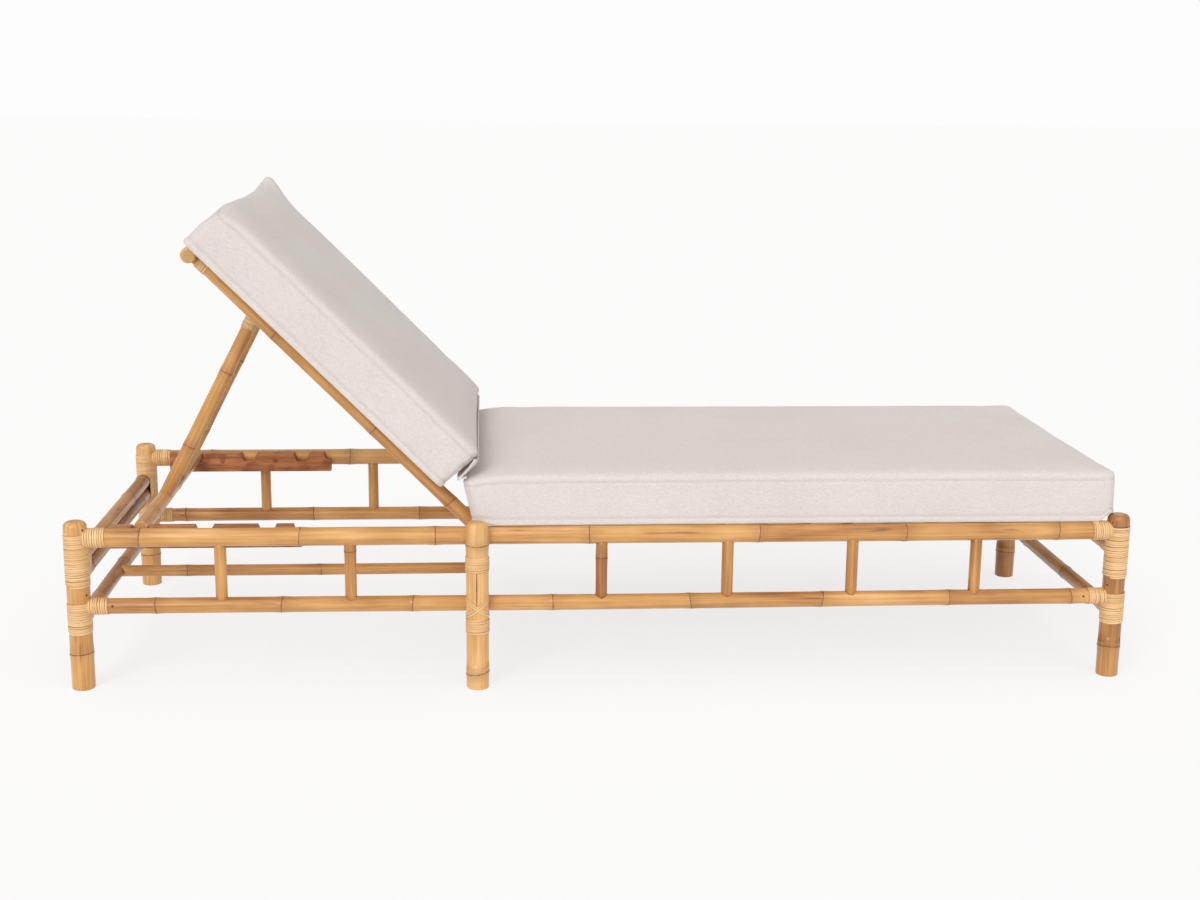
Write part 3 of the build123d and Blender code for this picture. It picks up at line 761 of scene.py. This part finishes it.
# Slanted poles: the back rails and the prop's legs
tail = 0.018
rail_foot_radius = 0.0140
rail_top_radius = 0.0100
bar_radius = 0.0145
bar_sink = bar_radius * 0.5
prop_crown_share = 0.7
prop_low, prop_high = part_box("prop_leg_right")
prop_radius = (prop_high.y - prop_low.y) / 2
prop_axis = (crossbar - pivot).normalized()
for side in SIDES:
    y = Vector((0, middle(f"back_rail_{side}").y, 0))
    shape = Shape()
    pole(
        shape,
        hinge - along * tail + y,
        bar - along * bar_sink + y,
        rail_foot_radius,
        seed,
        end_radius=rail_top_radius,
        joints=back_rail_joints,
        rounding=(rail_tail_rounding, 0.0),
    )
    shape.finish(f"back_rail_{side}_pole", RATTAN, "backrest", [f"back_rail_{side}"])
    y = Vector((0, middle(f"prop_leg_{side}").y, 0))
    shape = Shape()
    pole(
        shape,
        pivot - prop_axis * prop_radius + y,
        crossbar - prop_axis * bar_sink + y,
        prop_radius,
        seed + 1,
        joints=prop_leg_joints,
        rounding=(prop_radius * prop_crown_share, 0.0),
    )
    shape.finish(f"prop_leg_{side}_pole", RATTAN, "prop", [f"prop_leg_{side}"])
    seed += 5

# Cane bindings on the legs, the rail ends, the back rails and the prop
up = Vector((0, 0, 1))
lengthwise = Vector((1, 0, 0))
for side in SIDES:
    for place in ("head", "middle", "foot"):
        leg = middle(f"{place}_leg_{side}")
        shape = Shape()
        node = f"{place}_leg_bindings_{side}"
        for low, high in islands(node):
            strand(shape, (leg.x, leg.y, low.z), up, leg_radius, high.z - low.z, seed)
            seed += 1
        if place == "middle":
            crossing = middle(f"lower_rail_{side}").z - crossing_length / 2
            for lean in (-crossing_tilt, crossing_tilt):
                start = (leg.x, leg.y, crossing)
                strand(shape, start, up, leg_radius, crossing_length, seed, tilt=lengthwise * lean)
                seed += 1
        shape.finish(f"{node}_cane", CANE, "base", [node])
    node = f"rail_end_bindings_{side}"
    low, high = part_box(node)
    shape = Shape()
    for rail in ("top", "lower"):
        centre = middle(f"{rail}_rail_{side}")
        core = half_width(f"{rail}_rail_{side}", 2)
        for x, direction in ((low.x, lengthwise), (high.x, -lengthwise)):
            start = Vector((x, centre.y, centre.z)) - direction * rail_binding_tuck
            strand(shape, start, direction, core, rail_binding_length + rail_binding_tuck, seed)
            seed += 1
    shape.finish(f"{node}_cane", CANE, "base", [node])

# Cane on the ends of the end rails, round both of the stacked ones at the head
end_rails = {
    "head": (("head_upper_end_rail", "head_second_end_rail"), ("head_lower_end_rail",) * 2),
    "foot": (("foot_upper_end_rail",) * 2, ("foot_lower_end_rail",) * 2),
}
for place, pairs in end_rails.items():
    shape = Shape()
    for upper, lower in pairs:
        centre = (middle(upper) + middle(lower)) / 2
        core = half_width(upper, 0)
        half_step = (middle(upper) - middle(lower)) / 2
        for side, sign in SIDES.items():
            leg = middle(f"{place}_leg_{side}")
            inner = leg.y - sign * (leg_radius - end_rail_binding_tuck)
            start = Vector((centre.x, inner, centre.z))
            strand(shape, start, (0, -sign, 0), core, end_rail_binding_length, seed, pair=half_step)
            seed += 1
    shape.finish(f"{place}_end_rail_cane", CANE, "base")

shape = Shape()
for side in SIDES:
    y = Vector((0, middle(f"back_rail_{side}").y, 0))
    start = bar - along * back_binding_from_bar + y
    core = rail_top_radius + (rail_foot_radius - rail_top_radius) * back_binding_from_bar / back_length
    strand(shape, start, -along, core + back_binding_ease, back_binding_length, seed)
    seed += 1
shape.finish("back_rail_bindings_cane", CANE, "backrest", ["back_rail_bindings"])

shape = Shape()
for side in SIDES:
    y = Vector((0, middle(f"prop_leg_{side}").y, 0))
    start = pivot + prop_axis * prop_binding_from_pivot + y
    strand(shape, start, prop_axis, prop_radius, prop_binding_length, seed)
    seed += 1
shape.finish("prop_bindings_cane", CANE, "prop", ["prop_bindings"])


# Small marks: splits, a knot, the nails that hold the bindings and the racks' plugs
split_mark = (1.0, 1.0, 0.0, 0.0)
plain_mark = (0.0, 0.0, 0.5, 0.0)


def split(shape, centre, direction, outward_from, length, width):
    """A dark lens-shaped split that lies in a pole's skin, along direction."""
    centre = Vector(centre)
    along_split = Vector(direction).normalized()
    normal = Vector(outward_from).normalized()
    sideways = along_split.cross(normal)
    rings = []
    for i in range(1, split_steps):
        share = i / split_steps
        half = width / 2 * math.sin(math.pi * share) ** split_taper
        spot = centre + along_split * (share - 0.5) * length
        corners = []
        for angle in range(0, 360, 45):
            across = math.cos(math.radians(angle)) * half
            out = math.sin(math.radians(angle)) * split_height
            corners.append((spot + sideways * across + normal * out, tuple(spot), split_mark))
        rings.append(corners)
    ends = [centre + along_split * length * s for s in (-0.5, 0.5)]
    shape.tube(rings, *((end, tuple(end), split_mark) for end in ends))


def nail(shape, centre, outward_from, scale=1.0):
    """A domed nail head on a pole, or a wider plug."""
    normal = Vector(outward_from).normalized()
    side = normal.orthogonal().normalized()
    other = normal.cross(side)
    rings = []
    for reach, rise in nail_profile:
        corners = []
        for angle in range(0, 360, 30):
            turn = math.radians(angle)
            out = side * math.cos(turn) + other * math.sin(turn)
            spot = Vector(centre) + out * reach * scale + normal * rise
            corners.append((spot, tuple(spot), plain_mark))
        rings.append(corners)
    ends = [Vector(centre) + normal * nail_profile[i][1] for i in (0, -1)]
    shape.tube(rings, *((end, tuple(end), plain_mark) for end in ends))


splits = Shape()
nails = Shape()
for side, sign in SIDES.items():
    leg = middle(f"middle_leg_{side}")
    front = Vector((-0.06, sign, 0)).normalized()
    spot = leg + front * leg_radius + up * leg_split_rise
    split(splits, spot, up, front, leg_split_length, leg_split_width)
    rail = middle(f"lower_rail_{side}")
    rail_radius = half_width(f"lower_rail_{side}", 2)
    for place, inward in (("head", 1), ("foot", -1)):
        leg = middle(f"{place}_leg_{side}")
        for drop, turn in leg_nail_turns.items():
            facing = Vector((inward * turn, sign * 0.6, 0)).normalized()
            spot = Vector((leg.x, leg.y, leg_top - drop)) + facing * leg_radius
            nail(nails, spot, facing)
        facing = Vector((0, sign, 0.25)).normalized()
        past = leg_radius + rail_binding_length + rail_nail_from_binding
        nail(nails, Vector((leg.x + inward * past, rail.y, rail.z)) + facing * rail_radius, facing)
rail = middle("head_upper_end_rail")
rail_radius = half_width("head_upper_end_rail", 0)
facing = Vector((0.85, 0, 0.5)).normalized()
for y, length in end_rail_splits.items():
    spot = Vector((rail.x, y, rail.z)) + facing * rail_radius
    split(splits, spot, (0, 1, 0), facing, length, end_rail_split_width)
rail = middle("lower_rail_left")
facing = Vector((0, -1, 0.3)).normalized()
spot = Vector((knot_x, rail.y, rail.z)) + facing * half_width("lower_rail_left", 2)
split(splits, spot, lengthwise, facing, knot_length, knot_width)
plugs = Shape()
rack_face = abs(middle("rack_left").y) - half_width("rack_left", 1)
for low, high in islands("rack_screws"):
    centre = (low + high) / 2
    inward = -math.copysign(1, centre.y)
    nail(plugs, (centre.x, -inward * rack_face, centre.z), (0, inward, 0), scale=plug_scale)
plugs.finish("rack_plugs", PLUG_WOOD, "base")
splits.finish("pole_splits", RATTAN, "base")
nails.finish("binding_nails", NAIL, "base")


# Cushions: lattice boxes with rolled edges, puffed as cloth, then seamed
def pad_lattice(length, width, lean, form):
    """Surface points of a soft box and its faces, with flat coordinates for the weave."""
    counts = (round(length / pad_step), round(width / pad_step), pad_rows)
    half = Vector((length / 2, width / 2, pad_height / 2))
    points = []
    flats = []
    index = {}

    def place(i, j, k):
        if (i, j, k) in index:
            return index[(i, j, k)]
        raw = [(-1 + 2 * step / count) * h for step, count, h in zip((i, j, k), counts, half)]
        soft = pad_top_roll if raw[2] > 0 else pad_bottom_roll
        inner = [max(-h + soft, min(h - soft, r)) for r, h in zip(raw, half)]
        part = Vector([(r - n) / soft for r, n in zip(raw, inner)])
        reach = max(abs(value) for value in part)
        if part.length > 0:
            part = part / part.length * reach
        u, v, w = (n + p * soft for n, p in zip(inner, part))
        middle_u = 1 - (u / half.x) ** 2
        middle_v = 1 - (v / half.y) ** 2
        past = Vector((abs(u) - half.x + pad_corner, abs(v) - half.y + pad_corner))
        if past.x > 0 and past.y > 0:
            past = past / past.length * max(past)
            u = math.copysign(half.x - pad_corner + past.x, u)
            v = math.copysign(half.y - pad_corner + past.y, v)
        share = w / pad_height + 0.5
        w += pad_crown * max(0.0, 2 * share - 1) * math.sqrt(max(0.0, middle_u * middle_v))
        u -= math.copysign(pad_draw_in * max(0.0, middle_v) * (u / half.x) ** 4, u)
        v -= math.copysign(pad_draw_in * max(0.0, middle_u) * (v / half.y) ** 4, v)
        low_end = max(0.0, 0.5 - u / length)
        u -= lean * (w + pad_height / 2) * low_end
        index[(i, j, k)] = len(points)
        points.append(form(Vector((u + half.x, v, w + half.z)), length, width))
        flats.append((raw[0] + half.x, raw[1], raw[2] + half.z))
        return index[(i, j, k)]

    faces = []

    def sheet(axis, level, flip):
        first, second = [a for a in range(3) if a != axis]
        for a in range(counts[first]):
            for b in range(counts[second]):
                corners = []
                for da, db in ((0, 0), (1, 0), (1, 1), (0, 1)):
                    spot = [0, 0, 0]
                    spot[axis] = level
                    spot[first] = a + da
                    spot[second] = b + db
                    corners.append(place(*spot))
                faces.append(tuple(reversed(corners)) if flip else tuple(corners))

    for axis in range(3):
        sheet(axis, 0, axis != 1)
        sheet(axis, counts[axis], axis == 1)
    return points, faces, flats


def linen_piece(name, points, faces, flats):
    """A mesh object with the flat coordinates that the linen's weave reads."""
    mesh = bpy.data.meshes.new(name)
    mesh.from_pydata(points, [], faces)
    flat = mesh.attributes.new("pad", "FLOAT_VECTOR", "POINT")
    flat.data.foreach_set("vector", [value for spot in flats for value in spot])
    piece = bpy.data.objects.new(name, mesh)
    bpy.context.scene.collection.objects.link(piece)
    return piece


def settle(piece, modifier):
    """Put what a modifier makes of a piece in place of its mesh, smooth and in linen."""
    bpy.context.view_layer.update()
    made = bpy.data.meshes.new_from_object(piece.evaluated_get(bpy.context.evaluated_depsgraph_get()))
    piece.modifiers.remove(modifier)
    piece.data = made
    made.polygons.foreach_set("use_smooth", [True] * len(made.polygons))
    made.materials.clear()
    made.materials.append(LINEN)
    return made


def puff(piece):
    """Blow the pad up as cloth from inside, and keep every point near where it started."""
    cloth = piece.modifiers.new("cloth", "CLOTH")
    cloth.settings.quality = 4
    cloth.settings.use_pressure = True
    cloth.settings.uniform_pressure_force = pad_pressure
    cloth.settings.effector_weights.gravity = 0
    cloth.settings.bending_stiffness = 2.0
    for step in range(1, puff_frames + 1):
        bpy.context.scene.frame_set(step)
    swollen = piece.evaluated_get(bpy.context.evaluated_depsgraph_get())
    moved = [v.co.copy() for v in swollen.data.vertices]
    piece.modifiers.remove(cloth)
    for vertex, target in zip(piece.data.vertices, moved):
        shift = (target - vertex.co) * min(1.0, vertex.co.z / pad_rest_zone)
        if shift.length > 0:
            vertex.co += shift * (pad_swell_limit / (pad_swell_limit + shift.length))
        vertex.co.z = max(vertex.co.z, 0.0)
    bpy.context.scene.frame_set(1)


def seat_form(point, length, width):
    """The seat pad's top sinks towards its head end."""
    near = max(0.0, 1 - max(0.0, point.x) / seat_head_drop_reach)
    point.z -= seat_head_drop * near * near * max(0.0, 2 * point.z / pad_height - 1)
    return point


def back_form(point, length, width):
    """The back pad has an ear at one upper corner, a soft other one, a dip between, and puckers below."""
    top = max(0.0, 2 * point.z / pad_height - 1)
    from_end = length - point.x
    far = bell(from_end, back_ear_reach[0]) * bell(point.y + width / 2, back_ear_reach[1]) * top
    near = bell(from_end, back_soft_corner_reach[0])
    near *= bell(point.y - width / 2, back_soft_corner_reach[1]) * top
    dip = bell(from_end, back_end_dip_reach) * top
    dip *= bell(point.y + width * back_end_dip_place, width * back_end_dip_width)
    point += back_ear * far + back_soft_corner * near
    point.z -= back_end_dip * dip
    edge = bell(point.x, pucker_reach[0]) * bell(width / 2 - abs(point.y), pucker_reach[1])
    point.x += pucker * edge * noise.noise((point.y * 110, point.z * 150, 3.0))
    point.y -= math.copysign(pucker * edge * noise.noise((point.z * 170, point.y * 60, 7.0)), point.y)
    return point


def smooth_step(share):
    share = max(0.0, min(1.0, share))
    return share * share * (3 - 2 * share)


def seated(point):
    """A point of the seat pad, kept off the rails, the legs' crowns and the sweep of the back rails."""
    fade = max(0.0, 1 - (point.z - rail_top) / pad_height)
    for leg in LEGS:
        out = Vector((point.x - leg.x, point.y - leg.y, 0))
        distance = out.length - leg_radius
        if abs(leg.x - hinge.x) < leg_radius:
            point.z += middle_lift * smooth_step(1 - distance / middle_lift_reach) * fade * fade
            if distance < touch_gap and point.z < leg_top + touch_gap:
                point += out.normalized() * (touch_gap - distance)
        else:
            lift = leg_top + touch_gap - rail_top + pad_rest_drop
            point.z += lift * smooth_step(1 - distance / foot_lift_reach) * fade * fade
    for rail, reach in TOP_RAILS:
        across_rail = point.y - rail.y
        if abs(across_rail) < reach:
            point.z = max(point.z, rail.z + math.sqrt(reach**2 - across_rail**2) + touch_gap)
    for rail, reach in BACK_RAILS:
        clear = abs(point.y - rail.y) - reach
        line = hinge.x - (point.z - hinge.z) / math.tan(steepest) + rail_foot_radius / math.sin(steepest)
        short = line + touch_gap * 4 - point.x
        if short > 0:
            point.x += short * smooth_step(1 - clear / rail_dent_fade)
    return point


def cushion(name, node, length, width, lean, form, to_frame, body, fitted=None):
    """A padded linen piece in place of a soft solid, with sunk seams and ripples beside them."""
    points, faces, flats = pad_lattice(length, width, lean, form)
    piece = linen_piece(name, points, faces, flats)
    puff(piece)
    smooth = piece.modifiers.new("smooth", "SUBSURF")
    smooth.levels = 1
    fine = settle(piece, smooth)
    seam_levels = [row * pad_height / pad_rows for row in pad_seam_rows]
    spots = [spot.vector.copy() for spot in fine.attributes["pad"].data]
    normals = [corner.vector.copy() for corner in fine.vertex_normals]
    shifted = [vertex.co.copy() for vertex in fine.vertices]
    scale_x, scale_y, scale_z = ripple_scale
    for index, spot in enumerate(spots):
        if min(spot.x, length - spot.x, width / 2 - abs(spot.y)) < side_tolerance:
            near = max(bell(spot.z - level, seam_width) for level in seam_levels)
            wide = max(bell(spot.z - level, ripple_width) for level in seam_levels)
            ripple = noise.noise((spot.x * scale_x, spot.y * scale_y, spot.z * scale_z + length))
            shifted[index] -= normals[index] * (seam_depth * near + ripple_depth * ripple * wide)
    shifted = [to_frame @ point for point in shifted]
    if fitted:
        shifted = [fitted(point) for point in shifted]
    fine.vertices.foreach_set("co", [value for point in shifted for value in point])
    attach(piece, body)
    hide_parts(node)


seat_low, seat_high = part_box("seat_cushion")
pad_width = seat_high.y - seat_low.y
seat_start = seat_low.x - seat_overhang + seat_lean * pad_height
seat_place = Matrix.Translation((seat_start, 0, rail_top - pad_rest_drop))
seat_length = seat_high.x - seat_start
back_joint = next(joint for joint in frame["joints"] if joint["name"] == "back_recline")
steepest = math.atan2(along.z, -along.x) + math.radians(max(back_joint["range_deg"]))
cushion(
    "seat_cushion_cover",
    "seat_cushion",
    seat_length,
    pad_width,
    seat_lean,
    seat_form,
    seat_place,
    "base",
    fitted=seated,
)

across = Vector((0, -1, 0))
back_origin = hinge + along * back_pad_from_hinge + outward * back_pad_rise
back_turn = Matrix((along, across, outward)).transposed().to_4x4()
back_place = Matrix.Translation(back_origin) @ back_turn
back_pad_length = back_length + back_pad_past_bar - back_pad_from_hinge
cushion(
    "back_cushion_cover",
    "back_cushion",
    back_pad_length,
    pad_width,
    back_lean,
    back_form,
    back_place,
    "backrest",
)


# Strip of cover cloth that joins the two cushions
def hinge_strip():
    """A crumpled strip from the back pad's lower end to the head edge of the seat pad's top."""
    seat_edge = Vector((seat_low.x - seat_overhang, 0, rail_top + pad_height - seat_head_drop))
    meeting = (seat_edge - back_origin).dot(outward)

    def on_end(rise, off):
        """A point before the back pad's lower end."""
        return back_origin + outward * rise - along * (back_lean * rise + strip_stand_off + off)

    route = [
        on_end(pad_height * strip_start, -strip_curl * 0.2),
        on_end(pad_height * strip_upper, 0.0),
        on_end((pad_height * strip_upper + meeting) / 2, strip_curl * 0.2),
        on_end(meeting + strip_curl * 1.2, strip_curl * 0.1),
        on_end(meeting + strip_curl * 0.4, strip_curl * 0.2),
        seat_edge + Vector((-strip_curl * 0.5, 0, strip_curl * 0.1)),
        seat_edge + Vector((strip_curl * 0.3, 0, strip_curl * 0.55)),
        seat_edge + Vector((strip_curl * 1.5, 0, strip_curl * 0.60)),
    ]
    curve = bpy.data.curves.new("strip_route", "CURVE")
    curve.dimensions = "3D"
    curve.resolution_u = 6
    spline = curve.splines.new("NURBS")
    spline.points.add(len(route) - 1)
    for knot, spot in zip(spline.points, route):
        knot.co = (*spot, 1.0)
    spline.order_u = 3
    spline.use_endpoint_u = True
    carrier = bpy.data.objects.new("strip_route", curve)
    line = [vertex.co.copy() for vertex in bpy.data.meshes.new_from_object(carrier).vertices]
    bpy.data.objects.remove(carrier)
    run = [0.0]
    for first, second in zip(line, line[1:]):
        run.append(run[-1] + (second - first).length)
    count = round(strip_width / strip_step)
    points, flats, faces = [], [], []
    for i in range(count + 1):
        y = strip_width * (i / count - 0.5)
        for spot, distance in zip(line, run):
            middle_share = math.sin(math.pi * distance / run[-1])
            crumple = noise.noise((y * strip_coarse_scale[0], distance * strip_coarse_scale[1], 1.0))
            fine = noise.noise((y * strip_fine_scale[0], distance * strip_fine_scale[1], 5.0))
            crumple += strip_fine_share * fine
            shift = (outward * strip_crumple_rise - along) * strip_crumple * crumple * middle_share
            past = max(0.0, abs(y) - strip_width / 2 + pad_corner) / pad_corner
            fade = max(0.0, 1 - strip_tuck_fade * distance / run[-1])
            shift += along * strip_tuck * past * past * fade
            points.append(spot + Vector((0, y, 0)) + shift)
            flats.append((distance, y, -1.0))
    row = len(line)
    for i in range(count):
        for j in range(row - 1):
            corner = i * row + j
            faces.append((corner, corner + 1, corner + row + 1, corner + row))
    piece = linen_piece("cushion_hinge_strip", points, faces, flats)
    solid = piece.modifiers.new("cloth", "SOLIDIFY")
    solid.thickness = strip_thickness
    solid.offset = 0.0
    settle(piece, solid)
    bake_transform(piece)


hinge_strip()

# Solids that show as they are
HINGE_PARTS = ("hinge_pins", "hinge_spacers", "hinge_washers", "hinge_nuts")
SHOWN = {
    HARDWOOD: ("rack_right", "rack_left"),
    STEEL: ("rack_screws", "lap_pins", "prop_pivot_rod", *HINGE_PARTS),
}
for material, shown in SHOWN.items():
    for node in shown:
        frame["nodes"][node].data.materials.clear()
        frame["nodes"][node].data.materials.append(material)


# Floor, light and camera
def floor_material():
    """White floor: part of what the camera sees is its own white, the rest the light that falls on it."""
    g = Graph("floor")
    path = g.node("ShaderNodeLightPath").outputs
    seen = g.math("MAXIMUM", path["Is Camera Ray"], path["Is Glossy Ray"])
    seen = g.math("MAXIMUM", seen, path["Is Transmission Ray"])
    lit = g.node("ShaderNodeBsdfDiffuse", {"Color": (*(floor_albedo,) * 3, 1.0)})
    own = g.node("ShaderNodeEmission", {"Color": (1, 1, 1, 1), "Strength": 1.0})
    share = g.math("MULTIPLY", seen, floor_own_white)
    both = g.node("ShaderNodeMixShader", {0: share, 1: lit.outputs[0], 2: own.outputs[0]})
    g.node("ShaderNodeOutputMaterial", {"Surface": both.outputs[0]})
    return g.made


floor_mesh = bpy.data.meshes.new("floor")
floor_corners = [(x * floor_reach, y * floor_reach, 0) for x, y in ((-1, -1), (1, -1), (1, 1), (-1, 1))]
floor_mesh.from_pydata(floor_corners, [], [(0, 1, 2, 3)])
floor_mesh.materials.append(floor_material())
floor = bpy.data.objects.new("floor", floor_mesh)
bpy.context.scene.collection.objects.link(floor)
floor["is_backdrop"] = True


def studio_world():
    """White where the camera sees it, and a faint warm light on the object from all round."""
    g = Graph("studio", bpy.data.worlds)
    seen = g.node("ShaderNodeLightPath").outputs["Is Camera Ray"]
    ambient = g.node("ShaderNodeBackground", {"Color": ambient_colour, "Strength": ambient_strength})
    backdrop = g.node("ShaderNodeBackground", {"Color": (1, 1, 1, 1), "Strength": backdrop_white})
    choice = g.node("ShaderNodeMixShader", {0: seen, 1: ambient.outputs[0], 2: backdrop.outputs[0]})
    g.node("ShaderNodeOutputWorld", {"Surface": choice.outputs[0]})
    return g.made


bpy.context.scene.world = studio_world()


def sun(name, direction, strength, spread):
    """Even soft light that falls along a direction; spread is the angle of its disc in degrees."""
    data = bpy.data.lights.new(name, "SUN")
    data.energy = strength
    data.angle = math.radians(spread)
    made = bpy.data.objects.new(name, data)
    made.rotation_mode = "QUATERNION"
    made.rotation_quaternion = Vector(direction).to_track_quat("-Z", "Y")
    bpy.context.scene.collection.objects.link(made)


sun("front_left", (0.45, 0.85, -0.62), 1.22, 30)
sun("front_right", (-0.55, 0.80, -0.45), 0.55, 60)
sun("overhead", (0.05, 0.15, -1.0), 0.50, 70)

camera_data = bpy.data.cameras.new("camera")
camera_data.sensor_width = sensor_width_mm
camera_data.lens = camera_focal_pixels / photo_width_pixels * sensor_width_mm
camera = bpy.data.objects.new("camera", camera_data)
tilt = Matrix.Rotation(camera_pitch + math.pi / 2, 3, "X")
to_camera = Matrix.Rotation(camera_roll, 3, "Z") @ tilt @ Matrix.Rotation(camera_yaw, 3, "Z")
flip = Matrix.Diagonal((1, -1, -1))
camera.matrix_world = Matrix.Translation(camera_place) @ (to_camera.transposed() @ flip).to_4x4()
bpy.context.scene.collection.objects.link(camera)
bpy.context.scene.camera = camera
bpy.context.scene.view_settings.view_transform = "Standard"

low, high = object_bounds()
